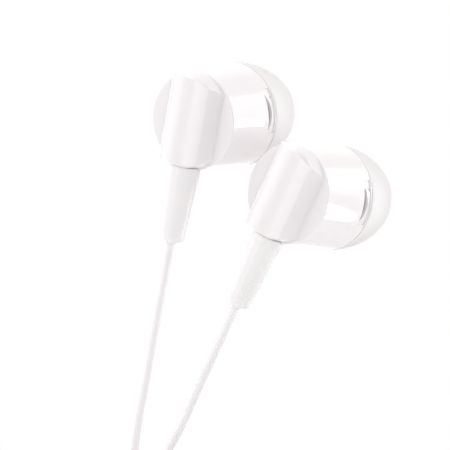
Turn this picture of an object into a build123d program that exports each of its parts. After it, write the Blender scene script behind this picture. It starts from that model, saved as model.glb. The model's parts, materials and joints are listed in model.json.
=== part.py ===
# Wired in-ear earphones: two moulded ear buds with silicone tips, two leads,
# a Y-splitter, a coiled common cable and a straight 3.5 mm stereo plug.
#
# Object frame, millimetres: +Z up, +X to the right, +Y to the back.  The object
# rests on its coiled cable at about Z = 0; the origin is the middle of its footprint.
#
# Each ear bud is modelled once in a bud frame: origin at the centre of the
# seam between housing and ear tip, +X along the sound nozzle, +Z away from the
# strain-relief boot, back disc of the housing at X = disc_x.
import os
from math import cos, pi, radians, sin

from build123d import *

os.makedirs("parts", exist_ok=True)

# ---------------------------------------------------------- shared dimensions
cable_r = 0.5
cable_bore_r = 0.56

disc_x = -8.55           # back disc of the housing
seam_r = 6.5             # housing radius at the seam
back_r = 6.1             # housing radius at the back disc

boot_x = disc_x          # boot axis, parallel to Z
boot_root_r = 2.1
boot_end_r = 1.6
boot_seat_z = -5.5
boot_end_z = -15.2
collar_end_z = -15.65    # end of the thin collar below the boot
lead_start_z = -16.2     # top of the free lead, just below the collar
neck_r = 1.0
flange_r = 1.4
flange_z = -4.35
flange_len = 0.8
knot_r = 1.15
knot_z = -1.9

# The vent and its mesh; angles run from -Y towards +Z about the nozzle axis.
vent_mid_deg = 19.5
vent_half_deg = 21.7
vent_r = 6.45            # radius at which the half angle gives the slot's half width
vent_back_x = -1.5
vent_front_x = -0.62
surround_from_deg, surround_to_deg = -4.0, 46.5
mesh_from_deg, mesh_to_deg = -5.5, 44.5
mesh_margin_deg = 1.0    # extra angle of the mesh seat and window at each end
mesh_mid_x = -1.1

# Origin, nozzle direction (bud +X) and upward direction (bud +Z) of each bud
bud_poses = {
    "left": dict(origin=(-9.834, -2.57, 57.602),
                 nozzle=(0.57641, 0.81027, 0.10593), up=(0.17461, -0.24876, 0.9527)),
    "right": dict(origin=(1.9213, -6.3638, 47.4712),
                  nozzle=(0.61068, 0.79122, -0.03241), up=(0.39754, -0.27092, 0.87668)),
}


# -------------------------------------------------------------------- helpers
def radial_plane(deg):
    """Sketch plane through the nozzle axis: x = X, y = outward at this angle.

    A revolve about +X sweeps the sketch towards smaller angles.
    """
    angle = radians(deg)
    return Plane(origin=(0, 0, 0), x_dir=(1, 0, 0), z_dir=(0, -sin(angle), -cos(angle)))


def inward_plane(deg, radius):
    """Plane facing the nozzle axis from this radius and angle."""
    out = Vector(0, -cos(radians(deg)), sin(radians(deg)))
    return Plane(origin=out * radius, x_dir=(1, 0, 0), z_dir=out * -1)


def turned(profile, axis=Axis.X):
    """Solid of revolution from a closed (X, Z) profile."""
    with BuildPart() as piece:
        with BuildSketch(Plane.XZ):
            with BuildLine():
                Polyline(*profile, close=True)
            make_face()
        revolve(axis=axis)
    return piece


def disc(back_x, radius, thickness, hole_r=0):
    """Flat disc or ring square to the nozzle axis."""
    with BuildPart() as piece:
        with BuildSketch(Plane.YZ.offset(back_x)):
            Circle(radius)
            if hole_r:
                Circle(hole_r, mode=Mode.SUBTRACT)
        extrude(amount=thickness)
    return piece


def swept_cable(points, ball_start=False):
    """Cable along a spline, optionally with a ball at its start."""
    with BuildPart() as piece:
        with BuildLine() as path:
            Spline(*points)
        with BuildSketch(Plane(origin=path.line @ 0, z_dir=path.line % 0)):
            Circle(cable_r)
        sweep(path=path.line)
        if ball_start:
            with Locations(points[0]):
                Sphere(cable_r)
    return piece


# ----------------------------------------------------------------- back shell
cavity_r = 5.2
cavity_back_x = -7.3
cavity_chamfer = 0.6
ledge_r = 4.72           # inner radius of the ledge that the driver rests on
ledge_back_x, ledge_front_x = -5.1, -4.72

ridge_foot = 3.95        # half width of the raised bar where it meets the disc
ridge_crest = 2.75       # half width of the bar's crown
ridge_edge_x = disc_x - 1.75     # edge of the bar's crown
ridge_mid_x = disc_x - 2.2       # crown on the bar's centre line
ridge_root_x = disc_x + 1.3      # bar's front face, buried in the housing
ridge_half_len = 6.4
ridge_fillet = 0.32
ridge_end_r = 5.85       # reach of the crown, from the centre its ends are struck from
ridge_base_r = 6.15      # reach of the bar where it meets the disc
ridge_y, ridge_z = 0.6, 0.05     # centre that the ends of the bar are struck from

pocket_back_x = -9.95
pocket_front_x = cavity_back_x + 0.3
pocket_width = 4.1
pocket_height = 7.6
bore_bottom_z, bore_depth = -6.6, 2.6
spot_face_z = -7.0       # lower end of the cut for the boot's seat
boot_clearance = 0.05

pin_hole_deg = 36
pin_hole_x = -0.4
pin_hole_r = 0.14

with BuildPart() as back_shell:
    # raised bar across the back disc, crowned, with sloping flanks
    with BuildSketch(Plane.XY.offset(-ridge_half_len)):
        with BuildLine():
            Polyline((ridge_edge_x, -ridge_crest), (disc_x, -ridge_foot),
                     (ridge_root_x, -ridge_foot), (ridge_root_x, ridge_foot),
                     (disc_x, ridge_foot), (ridge_edge_x, ridge_crest))
            ThreePointArc((ridge_edge_x, ridge_crest), (ridge_mid_x, 0),
                          (ridge_edge_x, -ridge_crest))
        make_face()
    extrude(amount=2 * ridge_half_len)
    fillet(edges().filter_by(Axis.Z).group_by(Axis.X)[0], ridge_fillet)
    # the bar's ends are rounded to the outline of the housing and bevelled
    with BuildSketch(Plane.XZ.offset(-ridge_y)):
        with BuildLine():
            Polyline((disc_x + 1.4, ridge_z), (disc_x + 1.4, ridge_z + 5.5),
                     (disc_x - 0.05, ridge_z + ridge_base_r),
                     (ridge_edge_x + 0.05, ridge_z + ridge_end_r),
                     (ridge_mid_x - 0.1, ridge_z + ridge_end_r - 0.42),
                     (ridge_mid_x - 0.1, ridge_z), (disc_x + 1.4, ridge_z))
        make_face()
    revolve(axis=Axis((0, ridge_y, ridge_z), (1, 0, 0)), mode=Mode.INTERSECT)
    # barrel of the housing
    with BuildSketch(Plane.XZ):
        with BuildLine():
            Polyline((disc_x, 0), (disc_x, back_r - 0.16))
            ThreePointArc((disc_x, back_r - 0.16), (disc_x + 0.05, back_r - 0.045),
                          (disc_x + 0.17, back_r + 0.005))
            Polyline((disc_x + 0.17, back_r + 0.005), (-0.08, seam_r - 0.004),
                     (0, seam_r - 0.08), (0, 0), (disc_x, 0))
        make_face()
    revolve(axis=Axis.X)
    # cavity with the driver's ledge
    with BuildSketch(Plane.XZ):
        with BuildLine():
            Polyline((cavity_back_x, 0), (cavity_back_x, cavity_r - cavity_chamfer),
                     (cavity_back_x + cavity_chamfer, cavity_r), (ledge_back_x, cavity_r),
                     (ledge_back_x, ledge_r), (ledge_front_x, ledge_r),
                     (ledge_front_x, cavity_r), (0, cavity_r), (0, 0), (cavity_back_x, 0))
        make_face()
    revolve(axis=Axis.X, mode=Mode.SUBTRACT)
    # pocket inside the bar for the boot flange and the cable knot
    with BuildSketch(Plane.XY.offset(flange_z)):
        with Locations(((pocket_back_x + pocket_front_x) / 2, 0)):
            Rectangle(pocket_front_x - pocket_back_x, pocket_width)
    extrude(amount=pocket_height, mode=Mode.SUBTRACT)
    # bore that the neck of the boot passes through, and its spot face
    with BuildSketch(Plane.XY.offset(bore_bottom_z)):
        with Locations((boot_x, 0)):
            Circle(neck_r + boot_clearance)
    extrude(amount=bore_depth, mode=Mode.SUBTRACT)
    with BuildSketch(Plane.XY.offset(spot_face_z)):
        with Locations((boot_x, 0)):
            Circle(boot_root_r + boot_clearance)
    extrude(amount=boot_seat_z - spot_face_z, mode=Mode.SUBTRACT)
    # D-shaped vent slot, cut along the vent's direction
    vent_half = vent_r * sin(radians(vent_half_deg))
    with BuildSketch(inward_plane(vent_mid_deg, 7.2)):
        with BuildLine():
            Polyline((vent_back_x, -vent_half), (vent_back_x, vent_half))
            ThreePointArc((vent_back_x, vent_half), (vent_front_x, 0), (vent_back_x, -vent_half))
        make_face()
    extrude(amount=2.4, mode=Mode.SUBTRACT)
    # shallow recessed surround, swept round the barrel
    with BuildSketch(radial_plane(surround_to_deg)):
        with Locations((-0.84, 6.75)):
            Rectangle(1.32, 0.8)
    revolve(axis=Axis.X, revolution_arc=surround_to_deg - surround_from_deg, mode=Mode.SUBTRACT)
    # seat for the vent mesh, cut from inside
    seat_arc = mesh_to_deg - mesh_from_deg + 2 * mesh_margin_deg
    with BuildSketch(radial_plane(mesh_to_deg + mesh_margin_deg)):
        with Locations((mesh_mid_x, 5.5)):
            Rectangle(1.7, 0.84)
    revolve(axis=Axis.X, revolution_arc=seat_arc, mode=Mode.SUBTRACT)
    # pin hole beside the vent
    with BuildSketch(inward_plane(pin_hole_deg, 7.0)):
        with Locations((pin_hole_x, 0)):
            Circle(pin_hole_r)
    extrude(amount=0.95, mode=Mode.SUBTRACT)

# ---------------------------------------------------------------- front shell
lip_r = 5.15
lip_inner_r = 4.66
lip_back_x = -2.0
seat_flange_r = 5.88
nozzle_r = 2.3
nozzle_bore_r = 1.7
bead_r = 2.72            # bead that retains the ear tip
nozzle_end_x = 6.2
mesh_recess_x = 5.88
mesh_recess_r = 2.0

with BuildPart() as front_shell:
    # lip that plugs into the back shell, seat flange, cone and sound nozzle
    with BuildSketch(Plane.XZ):
        with BuildLine():
            Polyline((lip_back_x, lip_inner_r), (lip_back_x, lip_r), (0.02, lip_r),
                     (0.02, seat_flange_r), (0.6, seat_flange_r), (1.7, 4.5), (2.5, 2.9),
                     (2.75, nozzle_r), (5.15, nozzle_r), (5.35, bead_r), (5.85, bead_r),
                     (nozzle_end_x, 2.4), (nozzle_end_x, mesh_recess_r),
                     (mesh_recess_x, mesh_recess_r), (mesh_recess_x, nozzle_bore_r),
                     (2.3, nozzle_bore_r), (1.2, 3.4), (0.3, 4.3), (-0.3, lip_inner_r),
                     (lip_back_x, lip_inner_r))
        make_face()
    revolve(axis=Axis.X)
    # window in the lip behind the vent
    with BuildSketch(radial_plane(mesh_to_deg + mesh_margin_deg)):
        with Locations((mesh_mid_x, 4.9)):
            Rectangle(1.9, 0.7)
    revolve(axis=Axis.X, revolution_arc=seat_arc, mode=Mode.SUBTRACT)

# --------------------------------------------------------------------- meshes
nozzle_mesh_x = 5.92
nozzle_mesh_r = 1.94
nozzle_mesh_thickness = 0.12
mesh_hole_r = 0.2
mesh_hole_pitch = 0.62   # step between the rings of holes

with BuildPart() as vent_mesh:
    with BuildSketch(radial_plane(mesh_to_deg)):
        with Locations((mesh_mid_x, 5.8)):
            Rectangle(1.56, 0.16)
    revolve(axis=Axis.X, revolution_arc=mesh_to_deg - mesh_from_deg)

with BuildPart() as nozzle_mesh:
    with BuildSketch(Plane.YZ.offset(nozzle_mesh_x)):
        Circle(nozzle_mesh_r)
    extrude(amount=nozzle_mesh_thickness)
    with BuildSketch(Plane.YZ.offset(nozzle_mesh_x - 0.02)):
        with PolarLocations(mesh_hole_pitch, 6):
            Circle(mesh_hole_r)
        with PolarLocations(2 * mesh_hole_pitch, 12):
            Circle(mesh_hole_r)
        Circle(mesh_hole_r)
    extrude(amount=0.2, mode=Mode.SUBTRACT)

# --------------------------------------------------------------------- driver
driver_r = 5.05
frame_back_x = -4.53
frame_front_x = -2.62
frame_inner_r = 3.7
yoke_back_x = -6.1
yoke_floor_x = -5.52
yoke_front_x = -3.35
yoke_r = 3.62
yoke_inner_r = 3.28
pole_back_x = -3.91
motor_gap = 0.01         # gap on each face of the magnet
cover_front_x = -2.02
cover_hole_r = 0.55
board_gap = 0.02         # gap between terminal board and yoke
board_thickness = 0.33
board_r = 2.9
pad_y = 1.3              # distance of each solder pad from the centre line
pad_thickness = 0.1

with BuildPart() as driver_frame:
    with BuildSketch(Plane.XZ):
        with BuildLine():
            Polyline((frame_back_x, frame_inner_r), (frame_back_x, driver_r),
                     (frame_front_x, driver_r), (frame_front_x, 4.5), (-4.1, 4.5),
                     (-4.1, frame_inner_r), (frame_back_x, frame_inner_r))
        make_face()
    revolve(axis=Axis.X)
    with BuildSketch(Plane.YZ.offset(-4.6)):
        with PolarLocations(4.1, 8):
            Circle(0.28)
    extrude(amount=0.6, mode=Mode.SUBTRACT)

driver_yoke = turned([
    (yoke_back_x, 0), (yoke_back_x, 3.4), (-5.88, yoke_r), (yoke_front_x, yoke_r),
    (yoke_front_x, yoke_inner_r), (yoke_floor_x, yoke_inner_r), (yoke_floor_x, 0),
])

magnet_back_x = yoke_floor_x + motor_gap
with BuildPart() as driver_magnet:
    with BuildSketch(Plane.YZ.offset(magnet_back_x)):
        Circle(2.6)
    extrude(amount=pole_back_x - motor_gap - magnet_back_x)
    chamfer(edges().filter_by(GeomType.CIRCLE), 0.1)

pole_plate = disc(pole_back_x, 2.72, yoke_front_x - pole_back_x)
voice_coil = disc(-4.3, 3.1, 1.15, hole_r=2.9)
rear_damper = disc(-4.7, 4.95, 0.15, hole_r=3.72)

# front face of the diaphragm from centre to rim: (x, radius)
diaphragm_front = [
    (-2.62, 0.0), (-2.7, 1.2), (-2.93, 2.4), (-3.02, 3.0),
    (-2.9, 3.35), (-2.68, 3.85), (-2.58, 4.25),
]
diaphragm_thickness = 0.12
diaphragm_back = [(x - diaphragm_thickness, radius) for x, radius in reversed(diaphragm_front)]

with BuildPart() as diaphragm:
    # centre dome, voice-coil groove, rolled surround and flat rim
    with BuildSketch(Plane.XZ):
        with BuildLine():
            Spline(*diaphragm_front, tangents=((0, 1), (0.05, 1)))
            Polyline(diaphragm_front[-1], (-2.49, 4.5), (-2.49, 5.0), (-2.6, 5.0),
                     (-2.6, 4.5), diaphragm_back[0])
            Spline(*diaphragm_back, tangents=((-0.05, -1), (0, -1)))
            Line(diaphragm_back[-1], diaphragm_front[0])
        make_face()
    revolve(axis=Axis.X)

with BuildPart() as driver_cover:
    with BuildSketch(Plane.XZ):
        with BuildLine():
            Polyline((-2.47, 4.55), (-2.47, driver_r), (cover_front_x, driver_r),
                     (cover_front_x, 0), (-2.2, 0), (-2.2, 4.55), (-2.47, 4.55))
        make_face()
    revolve(axis=Axis.X)
    with BuildSketch(Plane.YZ.offset(-2.3)):
        Circle(cover_hole_r)
        with PolarLocations(2.4, 6):
            Circle(cover_hole_r)
    extrude(amount=0.4, mode=Mode.SUBTRACT)

board_back_x = yoke_back_x - board_gap - board_thickness
with BuildPart() as terminal_board:
    with BuildSketch(Plane.YZ.offset(board_back_x)):
        Circle(board_r)
        Rectangle(2 * board_r, 3.4, mode=Mode.INTERSECT)
    extrude(amount=board_thickness)
    # solder pads
    with BuildSketch(Plane.YZ.offset(board_back_x - pad_thickness)):
        with Locations((-pad_y, 0), (pad_y, 0)):
            Rectangle(1.1, 1.3)
    extrude(amount=pad_thickness)

# the two insulated conductors from the knot to the solder pads
wire_r = 0.13
with BuildPart() as lead_wires:
    for side_sign in (-1, 1):
        with BuildLine() as wire_path:
            Spline((boot_x + 0.15, side_sign * 0.3, knot_z + knot_r + 0.2),
                   (-7.9, side_sign * 0.7, 0.1), (-7.1, side_sign * 1.1, 0.3),
                   (-6.74, side_sign * pad_y, 0.0))
        with BuildSketch(Plane(origin=wire_path.line @ 0, z_dir=wire_path.line % 0)):
            Circle(wire_r)
        sweep(path=wire_path.line)

# ---------------------------------------------------------- boot and lead end
seat_gap = 0.02          # gap between the boot and the shell faces it bears on
flange_top_z = flange_z + flange_len
boot_end_x = boot_x + boot_end_r

with BuildPart() as boot:
    with BuildSketch(Plane.XZ):
        with BuildLine():
            Polyline((boot_x + cable_bore_r, flange_top_z), (boot_x + flange_r, flange_top_z),
                     (boot_x + flange_r, flange_z + seat_gap),
                     (boot_x + neck_r, flange_z + seat_gap),
                     (boot_x + neck_r, boot_seat_z - seat_gap),
                     (boot_x + boot_root_r, boot_seat_z - seat_gap),
                     (boot_x + boot_root_r - 0.02, -6.4), (boot_end_x + 0.01, boot_end_z + 0.3))
            ThreePointArc((boot_end_x + 0.01, boot_end_z + 0.3),
                          (boot_end_x - 0.07, boot_end_z + 0.09),
                          (boot_end_x - 0.3, boot_end_z))
            Polyline((boot_end_x - 0.3, boot_end_z), (boot_x + 0.74, boot_end_z),
                     (boot_x + 0.6, collar_end_z), (boot_x + cable_bore_r, collar_end_z),
                     (boot_x + cable_bore_r, flange_top_z))
        make_face()
    revolve(axis=Axis((boot_x, 0, 0), (0, 0, 1)))

# cable inside the boot and the knot that stops it pulling out
with BuildPart() as lead_end:
    with BuildSketch(Plane.XY.offset(collar_end_z)):
        with Locations((boot_x, 0)):
            Circle(cable_r)
    extrude(amount=knot_z - collar_end_z)
    with Locations((boot_x, 0, knot_z)):
        Sphere(knot_r)

# -------------------------------------------------------------------- ear tip
tip_len = 9.4            # length at which the outer dome would close
tip_back_x = 0.12
tip_hole_x = 8.9
tip_hole_r = 1.95
tip_grip_r = 2.8         # inner radius of the sleeve that grips the nozzle
tip_grip_back_x = 2.85
dome_x_power, dome_r_power = 2.064, 2.176


def dome(x, radius, length):
    return radius * (1 - (x / length) ** dome_x_power) ** (1 / dome_r_power)


# stations along X; the radius at each is computed from the dome
outer_x = [tip_back_x, 0.9, 2.0, 3.2, 4.4, 5.6, 6.7, 7.6, 8.3, 8.75]
inner_x = [tip_back_x + 0.06, 0.9, 2.0, 3.2, 4.4, 5.5, 6.4, 7.0]
outer_line = [(x, dome(x, seam_r - 0.02, tip_len)) for x in outer_x]
inner_line = [(x, dome(x, seam_r - 0.5, tip_len - 0.75)) for x in inner_x]
skirt_corner = (tip_back_x, inner_line[0][1] + 0.06)

with BuildPart() as ear_tip:
    with BuildSketch(Plane.XZ):
        with BuildLine():
            Line(skirt_corner, outer_line[0])
            Spline(*outer_line)
            Spline(outer_line[-1], (9.0, 2.25), (tip_hole_x, tip_hole_r))
            Polyline((tip_hole_x, tip_hole_r), (6.75, tip_hole_r), (6.4, tip_grip_r),
                     (tip_grip_back_x, tip_grip_r), (tip_grip_back_x, 3.45), (6.9, 3.5),
                     inner_line[-1])
            Spline(*reversed(inner_line))
            Line(inner_line[0], skirt_corner)
        make_face()
    revolve(axis=Axis.X)

bud_parts = {
    "back_shell": back_shell, "front_shell": front_shell, "vent_mesh": vent_mesh,
    "nozzle_mesh": nozzle_mesh, "driver_frame": driver_frame, "driver_yoke": driver_yoke,
    "driver_magnet": driver_magnet, "pole_plate": pole_plate, "voice_coil": voice_coil,
    "diaphragm": diaphragm, "driver_cover": driver_cover, "rear_damper": rear_damper,
    "terminal_board": terminal_board, "lead_wires": lead_wires, "boot": boot,
    "lead_end": lead_end, "ear_tip": ear_tip,
}

# ------------------------------------------------- coil and splitter placement
# Coil angles run from -X towards +Y, clockwise seen from above.
coil_x, coil_y, floor_z = -3.9, 2.103, 0.009
coil_step_deg = 30       # least angle between spline points on the coil

splitter_len = 15.0
splitter_width = 5.0
splitter_height = 3.2
splitter_reach = 13.0    # distance of the splitter from the coil's axis
splitter_deg = 330.0
strand_gap = 0.9         # half the spacing of the leads in the splitter


def coil_point(deg, radius, height):
    angle = radians(deg)
    return Vector(coil_x - radius * cos(angle), coil_y + radius * sin(angle), floor_z + height)


def coil_heading(deg, slope=0.0):
    angle = radians(deg)
    return Vector(sin(angle), cos(angle), slope).normalized()


def coil_turns(from_deg, to_deg, radius, height, climb):
    """Helix points without the last one; climb is the rise per turn."""
    count = int((to_deg - from_deg) / coil_step_deg)
    points = []
    for i in range(count):
        turned_deg = (to_deg - from_deg) * i / count
        points.append(coil_point(from_deg + turned_deg, radius, height + climb * turned_deg / 360))
    return points


def bend(start, start_dir, end, end_dir, count, pull=1.0):
    """Points of a smooth (Hermite) bend from start up to, but not including, end."""
    reach = (end - start).length * pull
    points = []
    for i in range(count):
        t = i / count
        points.append(start * (2 * t**3 - 3 * t**2 + 1)
                      + start_dir * (reach * (t**3 - 2 * t**2 + t))
                      + end * (-2 * t**3 + 3 * t**2)
                      + end_dir * (reach * (t**3 - t**2)))
    return points


splitter_dir = coil_heading(splitter_deg)
splitter_out = Vector(-cos(radians(splitter_deg)), sin(radians(splitter_deg)), 0)
splitter_mid = coil_point(splitter_deg, splitter_reach, splitter_height / 2 + 0.1)
splitter_entry = splitter_mid - splitter_dir * (splitter_len / 2)
splitter_exit = splitter_mid + splitter_dir * (splitter_len / 2)

# ---------------------------------------------------------------------- leads
lead_coil_r = 18.9
lead_pitch = 2.6
lead_turns = 2.6
lead_leave_deg = 30.0 + 360.0 * lead_turns
lead_base = 2.45         # height above the floor at which the right lead leaves the coil
lead_slope = -lead_pitch / (2 * pi * lead_coil_r)

# join_deg: where the lead joins the coil; rise: height above the right lead;
# drops: spline points on the straight part below the boot; hang: its length;
# strand: offset in the splitter, outward from the coil's axis
lead_routes = {
    "left": dict(join_deg=46.0, rise=1.3, drops=(0, 6, 12, 18), hang=24.0, strand=strand_gap),
    "right": dict(join_deg=30.0, rise=0.0, drops=(0, 6, 12), hang=16.5, strand=-strand_gap),
}


def lead_points(pose, route):
    up = Vector(*pose["up"])
    down = up * -1
    top = Vector(*pose["origin"]) + Vector(*pose["nozzle"]) * boot_x + up * lead_start_z
    join_deg = route["join_deg"]
    end_height = lead_base + route["rise"]
    join_height = end_height + lead_pitch * (lead_leave_deg - join_deg) / 360
    join = coil_point(join_deg, lead_coil_r, join_height)
    leave = coil_point(lead_leave_deg, lead_coil_r, end_height)
    mouth = splitter_entry + splitter_out * route["strand"]

    points = [top + down * drop for drop in route["drops"]]
    points += bend(top + down * route["hang"], down,
                   join, coil_heading(join_deg, lead_slope), 5, pull=1.05)
    points += coil_turns(join_deg, lead_leave_deg, lead_coil_r, join_height, -lead_pitch)
    points += bend(leave, coil_heading(lead_leave_deg, lead_slope),
                   mouth - splitter_dir * 0.6, splitter_dir, 4)
    points += [mouth + splitter_dir * along for along in (-0.6, 0, 1.5, 3.0)]
    return points


# ----------------------------------------------------------------- Y-splitter
# Splitter frame: +X from the leads to the common cable, origin at its centre
taper_x = 0.5            # where the sides begin to taper
taper_half_width = 1.35
splitter_bore_depth = 3.2
cut_overshoot = 0.1

with BuildPart() as y_splitter:
    with BuildSketch(Plane.XY):
        with BuildLine():
            Polyline((-splitter_len / 2, -splitter_width / 2),
                     (-splitter_len / 2, splitter_width / 2), (taper_x, splitter_width / 2),
                     (splitter_len / 2, taper_half_width), (splitter_len / 2, -taper_half_width),
                     (taper_x, -splitter_width / 2), (-splitter_len / 2, -splitter_width / 2))
        make_face()
    extrude(amount=splitter_height / 2, both=True)
    fillet(edges().filter_by(Axis.Z), 0.6)
    fillet(edges().group_by(Axis.Z)[-1], 0.8)
    fillet(edges().group_by(Axis.Z)[0], 0.8)
    # bores for the two leads, then for the common cable
    with BuildSketch(Plane.YZ.offset(-splitter_len / 2 - cut_overshoot)):
        with Locations((strand_gap, 0), (-strand_gap, 0)):
            Circle(cable_bore_r)
    extrude(amount=splitter_bore_depth + cut_overshoot, mode=Mode.SUBTRACT)
    with BuildSketch(Plane.YZ.offset(splitter_len / 2 + cut_overshoot)):
        Circle(cable_bore_r)
    extrude(amount=-(splitter_bore_depth + cut_overshoot), mode=Mode.SUBTRACT)

# --------------------------------------------------------------- common cable
# out of the splitter, under the leads, up the outer column of turns, then off
# to the plug lying beside the coil
common_coil_r = 20.5
common_pitch = 1.25
common_turns = 6.0
common_from_deg = splitter_deg - 360 + 105.0
common_to_deg = common_from_deg + 360 * common_turns + 20
common_top = cable_r + common_pitch * (common_to_deg - common_from_deg) / 360
common_slope = common_pitch / (2 * pi * common_coil_r)

plug_grip_r = 3.1
plug_root = Vector(coil_x + common_coil_r + cable_r + plug_grip_r + 1.6, coil_y + 10.5,
                   floor_z + plug_grip_r)
plug_dir = Vector(0, -1, 0)

common_points = [splitter_exit - splitter_dir * 3.0, splitter_exit - splitter_dir * 1.5]
common_points += bend(splitter_exit, splitter_dir,
                      coil_point(common_from_deg, common_coil_r, cable_r),
                      coil_heading(common_from_deg), 5)
common_points += coil_turns(common_from_deg, common_to_deg, common_coil_r, cable_r, common_pitch)
common_points += bend(coil_point(common_to_deg, common_coil_r, common_top),
                      coil_heading(common_to_deg, common_slope),
                      plug_root - plug_dir * 2.5, plug_dir, 6, pull=1.1)
common_points += [plug_root + plug_dir * along for along in (-2.5, -1.2, 0, 4.0, 8.0, 12.0)]

# ----------------------------------------------------------------------- plug
# Plug frame: origin at the cable end of the strain relief, +Z towards the tip.
# Profiles are (radius, z).
plug_bore_r = 0.8        # looser bore for the cable inside the plug
socket_r = 2.3           # bore at the front of the grip, for the core
socket_depth = 9.0
core_r = 2.26
collar_r = 2.6
pin_r = 1.75
insulator_r = pin_r - 0.02
insulator_len = 0.6      # exposed length of each insulator
sleeve_len = 6.3
ring_len = 2.3
pin_len = 14.0

grip_z = 6.0             # end of the strain relief
face_z = grip_z + 15.0
pin_z = face_z + 0.8     # front of the collar
sleeve_end_z = pin_z + sleeve_len
ring_z = sleeve_end_z + insulator_len
ring_end_z = ring_z + ring_len
tip_z = ring_end_z + insulator_len
end_z = pin_z + pin_len

with BuildPart() as plug_grip:
    with BuildSketch(Plane.XZ):
        with BuildLine():
            Polyline((plug_bore_r, 0), (1.1, 0), (1.6, grip_z - 0.6), (2.5, grip_z),
                     (2.95, grip_z + 1.0), (plug_grip_r, grip_z + 2.2),
                     (plug_grip_r, face_z - 0.5), (plug_grip_r - 0.3, face_z),
                     (socket_r, face_z), (socket_r, face_z - socket_depth),
                     (plug_bore_r, face_z - socket_depth), (plug_bore_r, 0))
        make_face()
    revolve(axis=Axis.Z)
    # finger grooves
    for i in range(5):
        with BuildSketch(Plane.XZ):
            with Locations((plug_grip_r + 0.06, face_z - 3.0 - 1.5 * i)):
                Circle(0.26)
        revolve(axis=Axis.Z, mode=Mode.SUBTRACT)

# core: bored for the cable, solid in the middle, bored for the contacts
with BuildPart() as plug_core:
    with BuildSketch(Plane.XY.offset(face_z - 8.98)):
        Circle(core_r)
        Circle(plug_bore_r, mode=Mode.SUBTRACT)
    extrude(amount=1.9)
    with BuildSketch(Plane.XY.offset(face_z - 7.08)):
        Circle(core_r)
    extrude(amount=2.08)
    with BuildSketch(Plane.XY.offset(face_z - 5.0)):
        Circle(core_r)
        Circle(1.44, mode=Mode.SUBTRACT)
    extrude(amount=4.98)

# collar, contact sleeve and its tail inside the grip
plug_sleeve = turned([
    (1.22, face_z - 3.5), (1.42, face_z - 3.5), (1.42, face_z + 0.02),
    (collar_r - 0.1, face_z + 0.02), (collar_r, face_z + 0.12), (collar_r, pin_z - 0.1),
    (collar_r - 0.1, pin_z), (pin_r, pin_z), (pin_r, sleeve_end_z), (1.22, sleeve_end_z),
], Axis.Z)


def stepped_tube(bore_r, tail_r, tail_z, step_z, head_r, front_z):
    """Tube with a slim tail behind step_z and a wider head up to front_z."""
    return turned([
        (bore_r, tail_z), (tail_r, tail_z), (tail_r, step_z),
        (head_r, step_z), (head_r, front_z), (bore_r, front_z),
    ], Axis.Z)


plug_rear_insulator = stepped_tube(0.92, 1.2, face_z - 4.2, sleeve_end_z, insulator_r, ring_z)
plug_ring = stepped_tube(0.72, 0.9, face_z - 4.6, ring_z, pin_r, ring_end_z)
plug_front_insulator = stepped_tube(0.52, 0.7, face_z - 4.8, ring_end_z, insulator_r, tip_z)

with BuildPart() as plug_tip:
    # centre rod, waist and rounded point
    with BuildSketch(Plane.XZ):
        with BuildLine():
            Polyline((0, face_z - 4.95), (0.5, face_z - 4.95), (0.5, tip_z), (pin_r, tip_z),
                     (pin_r, tip_z + 0.5), (1.25, tip_z + 1.2), (1.25, tip_z + 1.5),
                     (1.65, tip_z + 2.2))
            ThreePointArc((1.65, tip_z + 2.2), (1.35, end_z - 0.75), (0.55, end_z))
            Polyline((0.55, end_z), (0, end_z), (0, face_z - 4.95))
        make_face()
    revolve(axis=Axis.Z)

plug_parts = {
    "plug_grip": plug_grip, "plug_core": plug_core, "plug_sleeve": plug_sleeve,
    "plug_rear_insulator": plug_rear_insulator, "plug_ring": plug_ring,
    "plug_front_insulator": plug_front_insulator, "plug_tip": plug_tip,
}

# --------------------------------------------------------- assembly and export
finished = {}
for side, pose in bud_poses.items():
    bud_loc = Plane(origin=pose["origin"], x_dir=pose["nozzle"], z_dir=pose["up"]).location
    for name, piece in bud_parts.items():
        finished[side + "_" + name] = piece.part.moved(bud_loc)
    lead = swept_cable(lead_points(pose, lead_routes[side]), ball_start=True)
    finished[side + "_lead"] = lead.part

splitter_loc = Plane(origin=splitter_mid, x_dir=splitter_dir, z_dir=(0, 0, 1)).location
finished["y_splitter"] = y_splitter.part.moved(splitter_loc)
finished["common_cable"] = swept_cable(common_points).part

plug_loc = Plane(origin=plug_root, x_dir=(1, 0, 0), z_dir=plug_dir).location
for name, piece in plug_parts.items():
    finished[name] = piece.part.moved(plug_loc)

for name, shape in finished.items():
    shape.label = name
    export_step(shape, "parts/" + name + ".step")
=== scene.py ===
"""In-ear earphones with a coiled cable, a splitter and a plug, standing on a studio floor.

Row frame: +X right, +Y away from the camera, +Z up. Lengths are in millimetres and become
metres when a mesh is made; lights, camera and shader distances are in metres.
Bud frame: +X along the nozzle, +Z away from the boot.
"""

import json
import math

import bmesh
import bpy
import numpy as np
from mathutils import Matrix, Vector


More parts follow.
